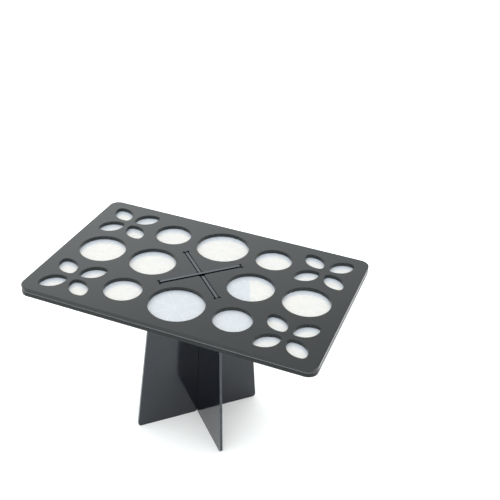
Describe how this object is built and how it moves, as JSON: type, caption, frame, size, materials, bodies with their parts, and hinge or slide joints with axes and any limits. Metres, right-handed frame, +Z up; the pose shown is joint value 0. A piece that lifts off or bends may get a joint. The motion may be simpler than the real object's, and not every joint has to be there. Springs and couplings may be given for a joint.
{
  "type": "brush drying rack",
  "caption": "Knock-down brush rack: a rounded black acrylic deck with round and leaf-shaped holes over a slit film, on two tapered legs that cross in notches and plug into its X slot.",
  "frame": {"origin": "centre of the footprint, on the floor, under the crossing of the two legs", "axes": "+X along the deck's long side to the right, +Y to the back of the deck, +Z up"},
  "size_m": [0.222, 0.1404, 0.135],
  "materials": {
    "black_acrylic": "polished opaque black acrylic sheet",
    "clear_film": "milky translucent silicone film, satin"
  },
  "bodies": {
    "lower_leg": {"lower_leg": "black_acrylic"},
    "upper_leg": {"upper_leg": "black_acrylic"},
    "deck": {"bottom_plate": "black_acrylic", "slit_film": "clear_film", "top_plate": "black_acrylic"}
  },
  "joints": [
    {"name": "upper_leg_lift", "type": "slide", "parent": "lower_leg", "child": "upper_leg", "axis": [0, 0, 1], "range_m": [0, 0.14]},
    {"name": "deck_lift", "type": "slide", "parent": "upper_leg", "child": "deck", "axis": [0, 0, 1], "range_m": [0, 0.03]}
  ]
}
